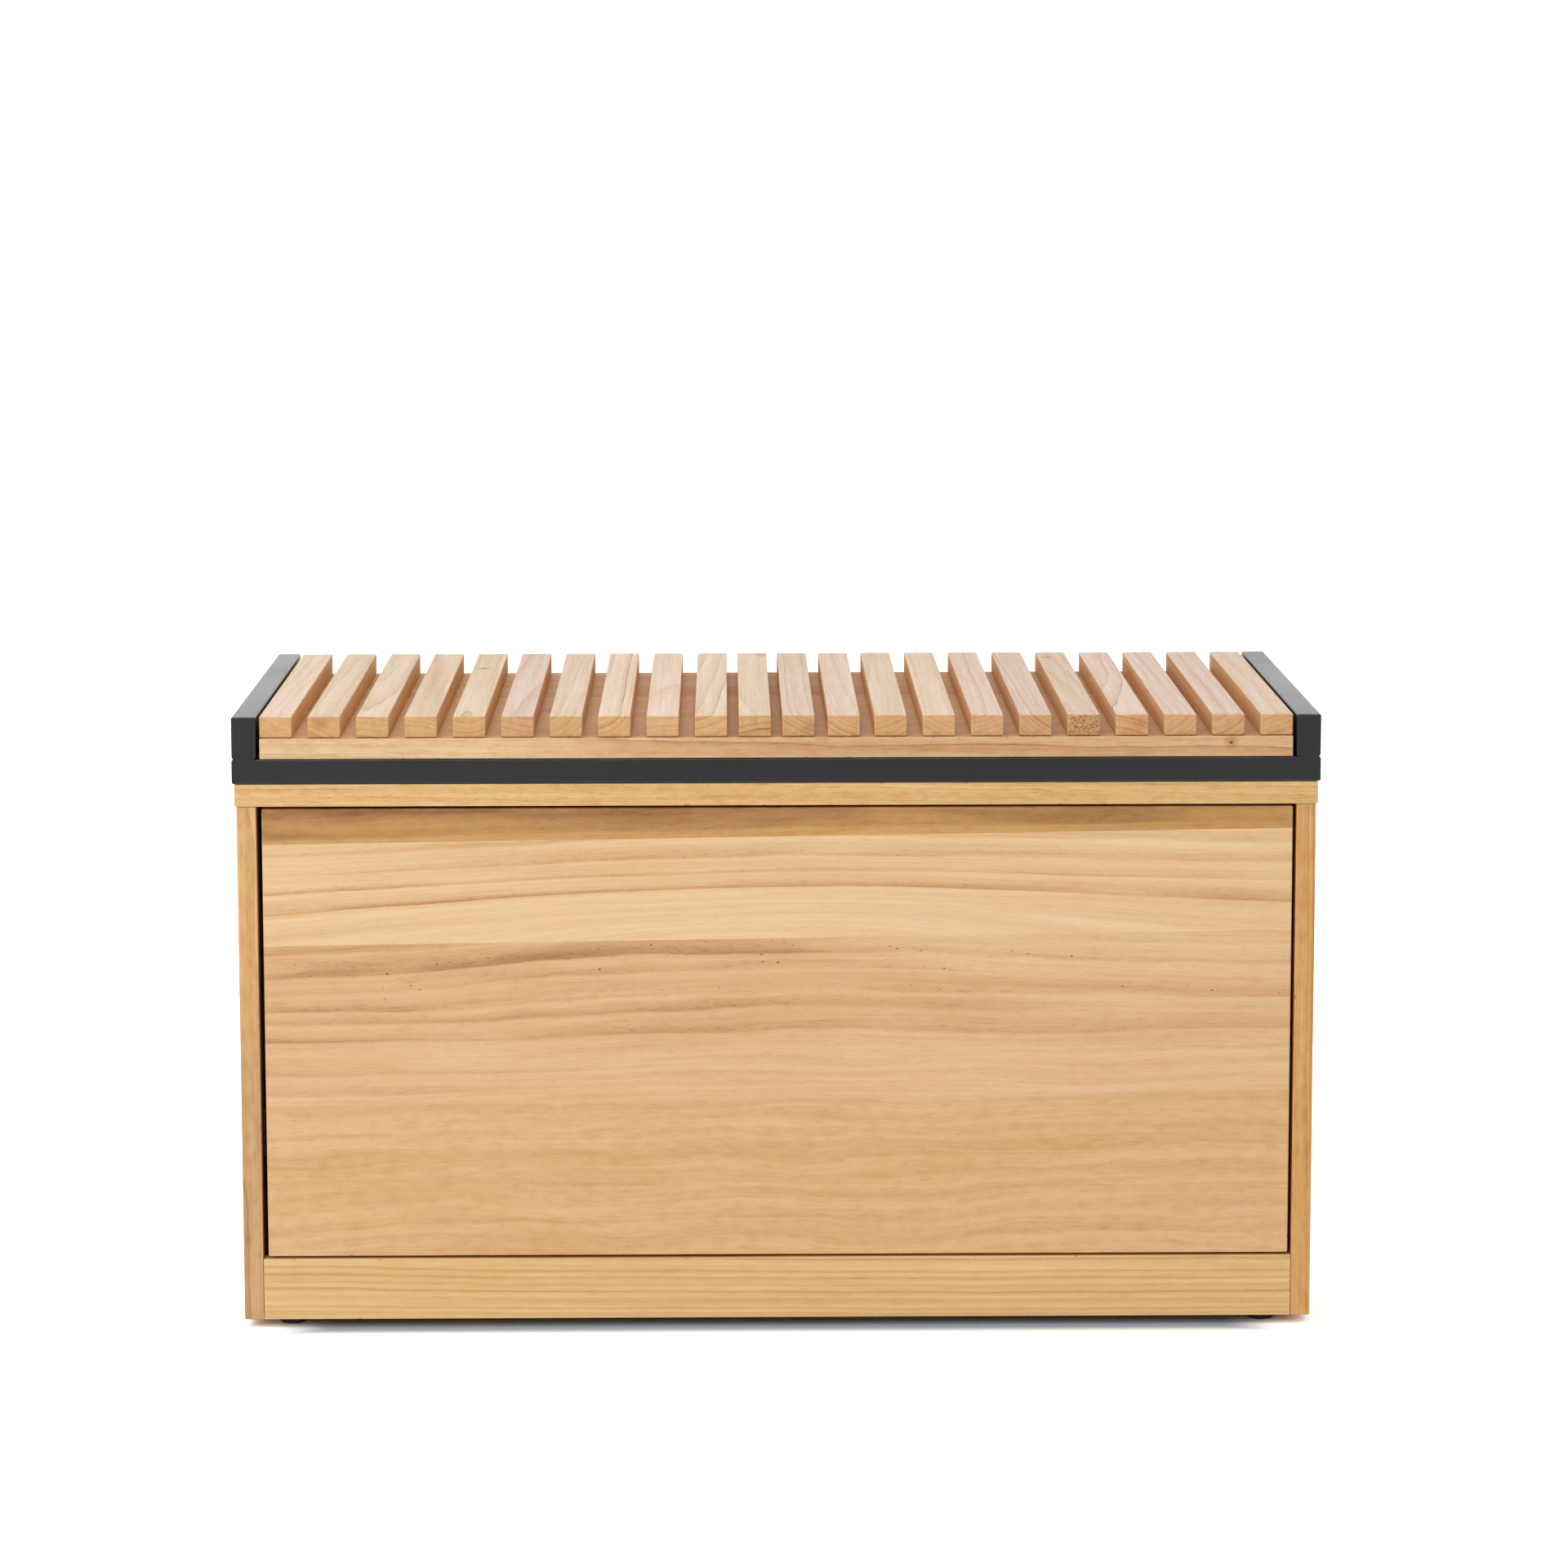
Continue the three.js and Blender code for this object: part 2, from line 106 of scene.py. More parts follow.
class Nodes:
    """Adds nodes to one tree, and is called g where it is used. Each call takes numbers or sockets and hands
    back the new node's output."""

    def __init__(self, tree):
        self.tree = tree

    def add(self, kind, inputs, output=0, **settings):
        node = self.tree.nodes.new(kind)
        for key, value in settings.items():
            setattr(node, key, value)
        for key, value in inputs.items():
            if isinstance(value, bpy.types.NodeSocket):
                self.tree.links.new(value, node.inputs[key])
            else:
                node.inputs[key].default_value = value
        return node.outputs[output]

    def math(self, operation, a, b=0.0, c=0.0):
        return self.add("ShaderNodeMath", {0: a, 1: b, 2: c}, operation=operation)

    def total(self, *terms):
        result = terms[0]
        for term in terms[1:]:
            result = self.math("ADD", result, term)
        return result

    def product(self, *terms):
        result = terms[0]
        for term in terms[1:]:
            result = self.math("MULTIPLY", result, term)
        return result

    def vector(self, operation, a, b=(0.0, 0.0, 0.0), output=0):
        return self.add("ShaderNodeVectorMath", {0: a, 1: b}, output, operation=operation)

    def split(self, vector):
        return self.add("ShaderNodeSeparateXYZ", {0: vector}).node.outputs[:3]

    def join(self, x, y, z):
        return self.add("ShaderNodeCombineXYZ", {0: x, 1: y, 2: z})

    def noise(self, vector, stretch=(1.0, 1.0, 1.0), detail=2.0, rough=0.5, output=0):
        """Noise with so many lumps a metre along each axis."""
        place = self.vector("MULTIPLY", vector, stretch)
        inputs = {"Vector": place, "Scale": 1.0, "Detail": detail, "Roughness": rough}
        return self.add("ShaderNodeTexNoise", inputs, output)

    def noise_along(self, value, scale, detail=1.0):
        inputs = {"W": value, "Scale": scale, "Detail": detail}
        return self.add("ShaderNodeTexNoise", inputs, noise_dimensions="1D")

    def smooth(self, value, start, end, low=0.0, high=1.0):
        """Goes from low to high as the value goes from start to end."""
        inputs = {"Value": value, "From Min": start, "From Max": end, "To Min": low, "To Max": high}
        return self.add("ShaderNodeMapRange", inputs, interpolation_type="SMOOTHSTEP")

    def ramp(self, value, stops):
        output = self.add("ShaderNodeValToRGB", {0: value})
        ramp = output.node.color_ramp
        while len(ramp.elements) < len(stops):
            ramp.elements.new(0.5)
        for element, (place, colour) in zip(ramp.elements, stops):
            element.position = place
            element.color = colour if isinstance(colour, tuple) else (colour,) * 3 + (1.0,)
        return output

    def choose(self, share, a, b):
        return self.add("ShaderNodeMix", {0: share, 2: a, 3: b}, data_type="FLOAT")

    def mix(self, share, a, b, blend="MIX"):
        inputs = {0: share, 6: a, 7: b}
        return self.add("ShaderNodeMix", inputs, 2, data_type="RGBA", blend_type=blend)

    def tint(self, share, colour, tone):
        """The colour multiplied by a tone, to the given share."""
        return self.mix(share, colour, self.mix(1.0, colour, tone, "MULTIPLY"))

    def bump(self, height, distance, strength):
        return self.add("ShaderNodeBump", {"Height": height, "Distance": distance, "Strength": strength})

    def place(self):
        return self.add("ShaderNodeTexCoord", {}, "Object")


def new_material(name, **uniform):
    """A material with one Principled shader. Numbers that are the same all over go on its own sockets."""
    material = bpy.data.materials.new(name)
    material.use_nodes = True
    tree = material.node_tree
    tree.nodes.clear()
    shader = tree.nodes.new("ShaderNodeBsdfPrincipled")
    for key, value in uniform.items():
        shader.inputs[key].default_value = value
    output = tree.nodes.new("ShaderNodeOutputMaterial")
    tree.links.new(shader.outputs[0], output.inputs["Surface"])
    return material, Nodes(tree), shader


def connect(g, shader, colour, roughness, normal):
    for key, socket in (("Base Color", colour), ("Roughness", roughness), ("Normal", normal)):
        g.tree.links.new(socket, shader.inputs[key])


def give(node, material):
    mesh = bpy.data.objects[node].data
    mesh.materials.clear()
    mesh.materials.append(material)


def edge_nearness(g, low, high, reach):
    """1 on a box's twelve edges, falling to 0 at the given reach from them."""
    off = g.vector("ABSOLUTE", g.vector("SUBTRACT", g.place(), tuple((low + high) / 2)))
    x, y, z = g.split(g.vector("SUBTRACT", tuple((high - low) / 2), off))
    nearest = g.math("MINIMUM", g.math("MINIMUM", x, y), z)
    farthest = g.math("MAXIMUM", g.math("MAXIMUM", x, y), z)
    second = g.math("SUBTRACT", g.math("SUBTRACT", g.total(x, y, z), nearest), farthest)
    return g.smooth(second, 0.0, reach, 1.0, 0.0)


def facing(g, axis, most=1.0):
    """The given most where the surface faces along the axis, either way, and 0 where it runs along it."""
    normal = g.split(g.add("ShaderNodeNewGeometry", {}, "Normal"))
    return g.smooth(g.math("ABSOLUTE", normal[axis]), 0.6, 0.9, 0.0, most)


# ---- Wood

GRAIN_TURN = {  # turns each board's grain onto the texture's X axis
    "X": (0.0, 0.0, 0.0),
    "Y": (0.0, 0.0, -math.pi / 2),
    "Z": (0.0, math.pi / 2, 0.0),
}
PORE_TINT = srgb(150, 112, 78)
WARM_SHADE = srgb(232, 206, 172)
GOLD_TINT = srgb(246, 228, 186)
STAVE_TINT = srgb(240, 228, 212)
HALO_TINT = srgb(224, 196, 160)
WORN_EDGE = srgb(243, 212, 174)
END_TINT = srgb(238, 216, 184)

# How dark the wood is through one year's growth, from 0 at its start to 1 at its end.
SHARP_RINGS = [(0.0, 0.1), (0.06, 0.0), (0.35, 0.12), (0.75, 0.42), (0.88, 0.6), (0.945, 1.0), (1.0, 0.25)]
SOFT_RINGS = [(0.0, 0.1), (0.1, 0.0), (0.4, 0.08), (0.66, 0.7), (0.78, 1.0), (0.9, 0.5), (1.0, 0.1)]


def tones(light, middle, dark):
    """A palette, from a wood's palest early wood to its darkest late wood."""
    return srgb(*light), srgb(*middle), srgb(*dark)


def figure(g, late, palette):
    light, middle, dark = palette
    return g.ramp(late, [(0.0, light), (0.45, middle), (1.0, dark)])


def growth_rings(g, spot, spacing, wander, taper, rings=SHARP_RINGS):
    """How dark the wood is: rings about the X axis that widen, narrow and lean as a tree's do, each with its
    own strength. taper is how fast the log narrows along its grain."""
    drift = g.vector("SUBTRACT", g.noise(spot, (1.3, 6, 6), output=1), (0.5, 0.5, 0.5))
    bent = g.vector("ADD", spot, g.vector("MULTIPLY", drift, (0.0, wander, wander)))
    radius = g.vector("LENGTH", g.vector("MULTIPLY", bent, (0.0, 1.0, 1.0)), output=1)
    ripple = g.product(g.math("SUBTRACT", g.noise(spot, (11, 30, 30)), 0.5), 0.16 * wander)
    count = g.math("DIVIDE", g.total(radius, ripple, g.product(g.split(spot)[0], taper)), spacing)
    count = g.math("ADD", count, g.product(g.noise_along(count, 0.45), 1.6))
    year = g.add("ShaderNodeTexWhiteNoise", {"W": g.math("FLOOR", count)}, noise_dimensions="1D")
    return g.math("MULTIPLY", g.ramp(g.math("FRACT", count), rings), g.smooth(year, 0.0, 1.0, 0.45, 1.0))


def knotted(g, colour, pores, centre, radius):
    """The colour and pores with one knot added: a dark, ragged mark with a halo."""
    away = g.vector("LENGTH", g.vector("SUBTRACT", g.place(), centre), output=1)
    ragged = g.smooth(g.noise(g.place(), (300, 300, 300)), 0.3, 0.7, -0.3 * radius, 0.3 * radius)
    away = g.math("ADD", away, ragged)
    pores = g.math("MAXIMUM", pores, g.smooth(away, 0.5 * radius, radius, 0.95, 0.0))
    return g.tint(g.smooth(away, 0.8 * radius, 4 * radius, 0.7, 0.0), colour, HALO_TINT), pores


def timber(g, shader, spot, late, colour, edge, grain="X", fleck=0.5, fibre=0.6, mottle=0.3, rough=0.55,
           end_grain=0.8, change=None, marks=None, knots=()):
    """Planed, oiled wood from its figure: fibres, short dark pores, knots, drifting colour and worn edges.

    spot is the place in the log, late how dark the figure is there, and edge how near an edge is. change is
    a slow change of tone along the board: its axis, where it starts and ends, and the tone."""
    fine = g.noise(spot, (9, 520, 520), detail=3.0, rough=0.7)
    streak = g.noise(spot, (2.2, 120, 120), detail=2.0)
    drift = g.noise(spot, (4, 22, 22), detail=3.0, rough=0.6)
    cloud = g.noise(spot, (60, 150, 150), detail=2.0)
    dash = g.noise(spot, (120, 1500, 1500), detail=1.0)
    line = g.noise(spot, (28, 1300, 1300), detail=1.0)
    pores = g.math("MAXIMUM", g.smooth(dash, 0.6, 0.72, 0.0, 0.8), g.smooth(line, 0.64, 0.74))
    pores = g.math("MULTIPLY", pores, g.smooth(late, 0.15, 0.8, 0.35 * fleck, fleck))
    nicks = g.product(g.smooth(g.noise(g.place(), (150, 150, 150), detail=2.0), 0.66, 0.72), edge, 0.8)
    pores = g.math("MAXIMUM", pores, nicks)
    if marks is not None:
        pores = g.math("MAXIMUM", pores, marks)
    for centre, radius in knots:
        colour, pores = knotted(g, colour, pores, centre, radius)

    colour = g.tint(g.product(g.smooth(drift, 0.42, 0.68), mottle), colour, GOLD_TINT)
    shade = g.total(g.smooth(fine, 0.3, 0.7, -0.2 * fibre, 0.42 * fibre),
                    g.smooth(streak, 0.35, 0.7, -0.2 * fibre, 0.42 * fibre),
                    g.product(g.smooth(cloud, 0.4, 0.7, -0.3, 0.9), mottle), 0.12)
    colour = g.tint(shade, colour, WARM_SHADE)
    if change is not None:
        axis, start, end, tone = change
        colour = g.tint(g.smooth(g.split(g.place())[axis], start, end), colour, tone)
    colour = g.tint(pores, colour, PORE_TINT)
    colour = g.tint(facing(g, "XYZ".index(grain), end_grain), colour, END_TINT)
    wear = g.math("MULTIPLY", edge, g.smooth(g.noise(spot, (60, 60, 60)), 0.35, 0.65, 0.1, 0.5))
    colour = g.mix(wear, colour, g.mix(0.5, colour, WORN_EDGE))

    roughness = g.total(g.smooth(fine, 0.3, 0.7, -0.04, 0.06), g.smooth(drift, 0.3, 0.7, -0.04, 0.04),
                        g.product(wear, -0.1), rough)
    height = g.total(g.product(fine, 0.6), g.product(late, 0.4), g.product(pores, -1.2))
    connect(g, shader, colour, roughness, g.bump(height, 0.12 * MM, 0.5))


def board_place(g, centre, grain, offset):
    """The place in a board's own log: X runs along the grain and the pith lies on the X axis."""
    turn = GRAIN_TURN[grain]
    turned = Matrix.Rotation(turn[2], 3, "Z") @ Matrix.Rotation(turn[1], 3, "Y") @ Vector(centre)
    inputs = {"Vector": g.place(), "Location": tuple(Vector(offset) - turned), "Rotation": turn}
    return g.add("ShaderNodeMapping", inputs)


def board(node, grain, palette, spacing=7 * MM, pith=(0.0, -0.3), wander=0.02, taper=0.01, contrast=1.0,
          rings=SHARP_RINGS, painted_top_shade=None, staves=None, **look):
    """Gives one board its own piece of log. pith is the way to the log's middle, across the grain. Wide
    panels are glued up from staves, given as the axis they lie side by side along and their width."""
    low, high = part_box(node)
    material, g, shader = new_material(f"{node}_wood")
    spot = board_place(g, (low + high) / 2, grain, (rng.uniform(2, 9), -pith[0], -pith[1]))
    if staves:
        axis, width = staves
        across = g.math("DIVIDE", g.split(g.place())[axis], width)
        stave = g.math("FLOOR", g.math("ADD", across, rng.uniform(10, 11)))
        chance = g.add("ShaderNodeTexWhiteNoise", {"W": stave}, 1, noise_dimensions="1D")
        jump = g.vector("MULTIPLY", g.vector("SUBTRACT", chance, (0.5, 0.5, 0.5)), (3.0, 0.16, 0.16))
        spot = g.vector("ADD", spot, jump)
    late = g.product(growth_rings(g, spot, spacing, wander, taper, rings), contrast)
    colour = figure(g, late, palette)
    if staves:
        colour = g.tint(g.smooth(g.split(chance)[0], 0.0, 1.0, 0.0, 0.85), colour, STAVE_TINT)
    # Painted shade: faces that look up or down are darkened by this tone.
    if painted_top_shade:
        colour = g.tint(facing(g, 2), colour, painted_top_shade)
    timber(g, shader, spot, late, colour, edge_nearness(g, low, high, BOARD_WEAR), grain, **look)
    give(node, material)


SLAT_KNOTS = {  # the middle of each slat's knot, and its radius
    "slat_02": ((-0.418, -0.25, 0.569), 3 * MM),
    "slat_05": ((-0.286, 0.12, 0.574), 3 * MM),
    "slat_12": ((0.03, -0.25, 0.562), 2.5 * MM),
    "slat_18": ((0.277, 0.2, 0.574), 2.5 * MM),
    "slat_19": ((0.333, -0.25, 0.565), 3.5 * MM),
}
SPECKLED_ENDS = {"slat_11": 0.2, "slat_18": 0.8}  # how dark the specks on their cut ends are


def slat(node):
    """A slat: paler and pinker on top as a painted sheen, with thin checks along the rings, warmer on its
    sides and its cut ends.
    """
    low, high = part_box(node)
    material, g, shader = new_material(f"{node}_wood")
    pith = Vector((rng.uniform(-0.05, 0.05), rng.choice((-1, 1)) * rng.uniform(0.03, 0.12)))
    spot = board_place(g, (low + high) / 2, "Y", (rng.uniform(2, 9), *-pith))
    spacing, taper = rng.uniform(4, 7) * MM, rng.uniform(-0.02, 0.02)
    late = g.product(growth_rings(g, spot, spacing, 0.012, taper), rng.uniform(0.5, 0.9))
    shade, warmth = rng.uniform(-10, 1), rng.uniform(-4, 5)

    def tone(red, green, blue):
        return srgb(red + shade, green + shade + warmth / 4, blue + shade - warmth)

    # Painted sheen: faces that look up or down take this paler copy of the figure, the sides and ends the
    # warmer one.
    pale = figure(g, late, (tone(214, 193, 174), tone(202, 174, 150), tone(173, 143, 119)))
    warm = figure(g, late, (tone(230, 188, 140), tone(212, 165, 112), tone(176, 126, 80)))
    colour = g.mix(facing(g, 2), warm, pale)
    checks = g.product(g.smooth(late, 0.55, 0.75), g.smooth(g.noise(spot, (7, 60, 60)), 0.53, 0.58), 0.85)
    if node in SPECKLED_ENDS:
        speck = g.smooth(g.noise(g.place(), (900, 900, 900), detail=1.0), 0.5, 0.6)
        checks = g.math("MAXIMUM", checks, g.product(facing(g, 1, SPECKLED_ENDS[node]), speck))
    knots = [SLAT_KNOTS[node]] if node in SLAT_KNOTS else []
    edge = edge_nearness(g, low, high, SLAT_WEAR)
    timber(g, shader, spot, late, colour, edge, "Y", fleck=0.45, fibre=0.45, mottle=0.12, rough=0.58,
           end_grain=0.3, marks=checks, knots=knots)
    give(node, material)


# One stave of the drawer front. Depths are in mm below the front's upper left corner: where the stave starts
# and where each dark ring lies, with how dark it is. between is how dark the wood is between the rings, at
# the stave's top and at its foot.
Stave = namedtuple("Stave", "start palette between rings")
STAVES = [
    # The first stave's darkening towards its top edge is partly darker wood and partly painted shade under
    # the top board's overhang.
    Stave(0, tones((212, 164, 100), (191, 142, 82), (148, 101, 54)), (0.95, 0.1), [(7, 0.9), (28, 0.5)]),
    Stave(33, tones((239, 207, 162), (229, 189, 138), (202, 150, 100)), (0.05, 0.03),
          [(47, 0.5), (66, 0.65), (84, 0.75), (106, 1.0), (130, 0.16), (160, 0.1)]),
    Stave(128, tones((234, 198, 151), (220, 176, 126), (180, 130, 85)), (0.32, 0.03),
          [(131, 0.55), (143, 0.5), (162, 0.95), (176, 0.65), (192, 0.65), (203, 0.6), (220, 0.68),
           (249, 0.42), (267, 0.38), (285, 0.2)]),
    Stave(279, tones((230, 191, 140), (220, 177, 124), (190, 144, 96)), (0.1, 0.08),
          [(295, 0.22), (316, 0.24), (336, 0.28), (356, 0.32), (374, 0.22), (394, 0.26), (412, 0.26)]),
]


def stave_rings(g, level, stave):
    """How dark the wood is at a level in the figure: from pale slowly to dark, ring after ring."""
    last = stave.rings[-1][0] + RING_FALL
    top, foot = stave.between
    stops = [(stave.start, top)]
    for depth, dark in stave.rings:
        share = (depth - stave.start) / (last - stave.start)
        stops += [(depth, dark), (depth + RING_FALL, top + (foot - top) * share)]
    along = g.math("DIVIDE", g.math("SUBTRACT", level, stave.start * MM), (last - stave.start) * MM)
    rings = g.ramp(along, [((depth - stave.start) / (last - stave.start), dark ** (1 / RING_RISE))
                           for depth, dark in stops])
    return g.math("POWER", rings, RING_RISE)


def drawer_front():
    """The front is glued up from four staves that run a little out of square, each with its own figure."""
    low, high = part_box("drawer_front")
    material, g, shader = new_material("drawer_front_wood")
    x, y, z = g.split(g.place())
    top_edge = g.math("MULTIPLY_ADD", x, GLUE_SLOPE, high.z - GLUE_SLOPE * low.x)
    depth = g.math("SUBTRACT", top_edge, z)
    below = [g.math("GREATER_THAN", depth, stave.start * MM) for stave in STAVES[1:]]

    def by_stave(values):
        result = values[0]
        for mask, value in zip(below, values[1:]):
            result = g.choose(mask, result, value)
        return result

    # level is the depth within the figure, which follows the arch and wavers.
    second, third = STAVES[1].start * MM, STAVES[2].start * MM
    swell = g.math("POWER", g.math("DIVIDE", g.math("SUBTRACT", x, ARCH_MIDDLE), ARCH_SPREAD), 2.0)
    swell = g.math("EXPONENT", g.product(swell, -1.0))
    within = g.smooth(depth, second, third)
    arch = by_stave((0.004, g.math("MULTIPLY_ADD", g.product(within, within), 0.048, 0.016),
                     g.smooth(depth, third, ARCH_END, 0.024, 0.0), 0.0))
    shift = by_stave((0.0, 1.7, 3.4, 5.1))
    broad = g.noise(g.join(g.total(x, shift), y, depth), (3.4, 4, 12))
    ripple = g.noise(g.join(g.total(x, shift), y, depth), (13, 20, 70))
    waver = g.total(g.product(g.math("SUBTRACT", broad, 0.5), by_stave((0.012, 0.01, 0.02, 0.045))),
                    g.product(g.math("SUBTRACT", ripple, 0.5), by_stave((0.003, 0.0025, 0.004, 0.008))))
    level = g.total(depth, g.product(arch, swell), waver)
    spot = g.join(g.total(x, shift, 3.0), g.total(y, shift), g.product(level, -1.0))

    # The rings fade here and there, and to the right.
    rings = [stave_rings(g, level, stave) for stave in STAVES]
    fade = g.smooth(g.noise(spot, (5, 40, 40), detail=2.0), 0.35, 0.65, 0.55, 1.15)
    weaker = (1.0, g.smooth(x, -0.1, 0.4, 1.0, 0.8), g.smooth(x, -0.25, 0.3, 1.0, 0.6), 1.0)
    fade = g.product(fade, by_stave(weaker))
    band = g.noise(spot, (1.4, 90, 90), detail=3.0, rough=0.6)
    late = g.total(g.product(by_stave(rings), fade), g.smooth(band, 0.35, 0.7, -0.06, 0.1))

    # To the right, the second and third staves match so well that no line shows between them.
    soft = g.choose(g.smooth(x, 0.0, 0.25), below[1], g.smooth(depth, 0.115, 0.19))
    colour = figure(g, late, STAVES[0].palette)
    for mask, stave in zip((below[0], soft, below[2]), STAVES[1:]):
        colour = g.mix(mask, colour, figure(g, late, stave.palette))
    cell = g.add("ShaderNodeTexVoronoi", {"Vector": g.vector("MULTIPLY", spot, (80, 80, 150)), "Scale": 1.0})
    spread = g.smooth(g.math("ABSOLUTE", g.math("SUBTRACT", level, PIT_DEPTH)), 0.012, 0.024, 1.0, 0.0)
    pits = g.product(g.smooth(cell, 0.07, 0.13, 1.0, 0.0), spread, g.smooth(late, 0.2, 0.35))
    edge = edge_nearness(g, low, high, FRONT_WEAR)
    timber(g, shader, spot, late, colour, edge, fleck=0.5, fibre=0.42,
           mottle=by_stave((0.25, 0.06, 0.1, 0.2)), marks=pits)
    give("drawer_front", material)


HONEY = tones((230, 189, 130), (214, 168, 106), (180, 132, 78))
PALE = tones((233, 206, 164), (219, 186, 140), (194, 154, 108))


def woodwork():
    drawer_front()
    board("top_board", "X", tones((242, 208, 150), (232, 192, 130), (194, 148, 92)), pith=(0.1, -0.2),
          spacing=5 * MM, contrast=0.6, fleck=1.0, mottle=0.25, staves=(1, 0.11))
    board("front_bottom_rail", "X", tones((236, 199, 142), (222, 181, 122), (192, 148, 92)),
          pith=(0.02, -0.5), spacing=7.6 * MM, taper=0.004, contrast=0.7, rings=SOFT_RINGS, fleck=0.35,
          fibre=0.45, mottle=0.1)
    board("back_bottom_rail", "X", HONEY, pith=(0.1, 0.3), rings=SOFT_RINGS)
    board("bottom_board", "X", HONEY, pith=(0.05, -0.12), staves=(1, 0.12))
    board("back_panel", "X", HONEY, pith=(0.25, 0.1), staves=(2, 0.11))
    board("side_panel_left", "Z", tones((237, 197, 142), (221, 177, 120), (188, 142, 90)), pith=(0.2, 0.12),
          spacing=6 * MM, change=(2, 0.36, 0.2, srgb(236, 240, 252)), staves=(1, 0.1))
    board("side_panel_right", "Z", tones((234, 189, 124), (218, 169, 104), (182, 132, 76)),
          pith=(-0.2, 0.12), spacing=6 * MM, staves=(1, 0.105))
    # The seat board's top, in shade between the slats, is darkened by a painted shade tone.
    board("seat_board", "X", tones((236, 206, 164), (222, 182, 136), (183, 136, 92)), pith=(0.1, -0.15),
          painted_top_shade=srgb(216, 196, 160), change=(0, -0.3, 0.0, srgb(238, 226, 214)), mottle=0.25, fleck=0.7,
          contrast=0.75, knots=[((0.417, -0.249, 0.548), 2.2 * MM), ((-0.21, -0.05, 0.5539), 5 * MM)])
    for node in SLATS:
        slat(node)
    for node, grain in (("drawer_inner_front", "X"), ("drawer_back", "X"), ("drawer_bottom", "X"),
                        ("drawer_side_left", "Y"), ("drawer_side_right", "Y")):
        board(node, grain, PALE, pith=(0.06, 0.22), fleck=0.3, rough=0.6)


# ---- Metal and plastic

def coated_metal(name, node=None):
    """Satin anthracite powder coat with a fine orange-peel skin, thinner and paler on a node's edges."""
    material, g, shader = new_material(name)
    grit = g.noise(g.place(), (700, 700, 700), detail=2.0)
    cloud = g.noise(g.place(), (7, 7, 7), detail=3.0)
    colour = g.mix(g.smooth(cloud, 0.35, 0.65), srgb(20, 24, 27), srgb(25, 29, 32))
    colour = g.mix(g.smooth(grit, 0.35, 0.7, 0.0, 0.06), colour, srgb(44, 47, 50))
    if node:
        edge = edge_nearness(g, *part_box(node), TUBE_WEAR)
        thin = g.product(edge, g.smooth(g.noise(g.place(), (90, 90, 90), detail=2.0), 0.4, 0.7, 0.05, 0.5))
        colour = g.mix(thin, colour, srgb(70, 73, 76))
    roughness = g.total(g.smooth(cloud, 0.3, 0.7, -0.02, 0.04), g.smooth(grit, 0.3, 0.7, -0.02, 0.02), 0.24)
    connect(g, shader, colour, roughness, g.bump(grit, 0.01 * MM, 0.15))
    return material


def grained(name, tone, rough, metallic=0.0, stretch=(400, 400, 400), relief=0.03 * MM):
    """Moulded plastic with a fine grain, or drawn steel, whose grain is stretched along the draw."""
    material, g, shader = new_material(name, Metallic=metallic)
    grit = g.noise(g.place(), stretch, detail=3.0)
    cloud = g.noise(g.place(), (45, 45, 45), detail=2.0)
    darker = tuple(0.8 * c for c in tone[:3]) + (1.0,)
    share = g.total(g.smooth(grit, 0.3, 0.7, 0.0, 0.6), g.smooth(cloud, 0.3, 0.7, 0.0, 0.4))
    roughness = g.total(g.smooth(grit, 0.3, 0.7, -0.06, 0.06), g.smooth(cloud, 0.3, 0.7, -0.05, 0.05), rough)
    connect(g, shader, g.mix(share, darker, tone), roughness, g.bump(grit, relief, 0.4))
    return material


def hardware():
    """Gives the metal frame, runners, latches and glides their materials, and hands back the screws' own."""
    zinc = grained("zinc_steel", srgb(196, 199, 203), 0.34, metallic=1.0, stretch=(500, 500, 40))
    black = grained("black_steel", srgb(38, 39, 41), 0.4, stretch=(600, 20, 600), relief=0.02 * MM)
    glide = grained("dark_plastic", srgb(42, 28, 23), 0.5)
    grey = grained("grey_plastic", srgb(182, 184, 186), 0.5)
    tip = grained("soft_tip", srgb(74, 76, 78), 0.75)
    for side in WAYS:
        give(f"latch_body_{side}", grey)
        give(f"latch_plunger_{side}", tip)
        for part in ("cabinet", "middle", "drawer"):
            give(f"runner_{part}_{side}", black)
        for end in ENDS:
            give(f"glide_{end}_{side}", glide)
    for node in [f"frame_tube_{side}" for side in TUBES] + [f"end_bar_{side}" for side in WAYS]:
        give(node, coated_metal(f"{node}_coat", node))
    return zinc


# ---- Rounded edges

def outer_edge_tree():
    """Gives bevel weight 1 to the edges that lie on two faces of the box between Low and High."""
    tree = bpy.data.node_groups.new("outer_edges", "GeometryNodeTree")
    for name, kind in (("Geometry", "NodeSocketGeometry"), ("Low", "NodeSocketVector"),
                       ("High", "NodeSocketVector")):
        tree.interface.new_socket(name, in_out="INPUT", socket_type=kind)
    tree.interface.new_socket("Geometry", in_out="OUTPUT", socket_type="NodeSocketGeometry")
    g = Nodes(tree)
    source = tree.nodes.new("NodeGroupInput").outputs
    place = g.add("GeometryNodeInputPosition", {})
    to_low = g.vector("ABSOLUTE", g.vector("SUBTRACT", place, source["Low"]))
    to_high = g.vector("ABSOLUTE", g.vector("SUBTRACT", place, source["High"]))
    gaps = g.split(g.vector("MINIMUM", to_low, to_high))
    on_faces = g.total(*(g.math("LESS_THAN", gap, 0.05 * MM) for gap in gaps))
    weight = g.math("GREATER_THAN", on_faces, 1.5)
    inputs = {"Geometry": source["Geometry"], "Name": "bevel_weight_edge", "Value": weight}
    stored = g.add("GeometryNodeStoreNamedAttribute", inputs, data_type="FLOAT", domain="EDGE")
    tree.links.new(stored, tree.nodes.new("NodeGroupOutput").inputs[0])
    return tree


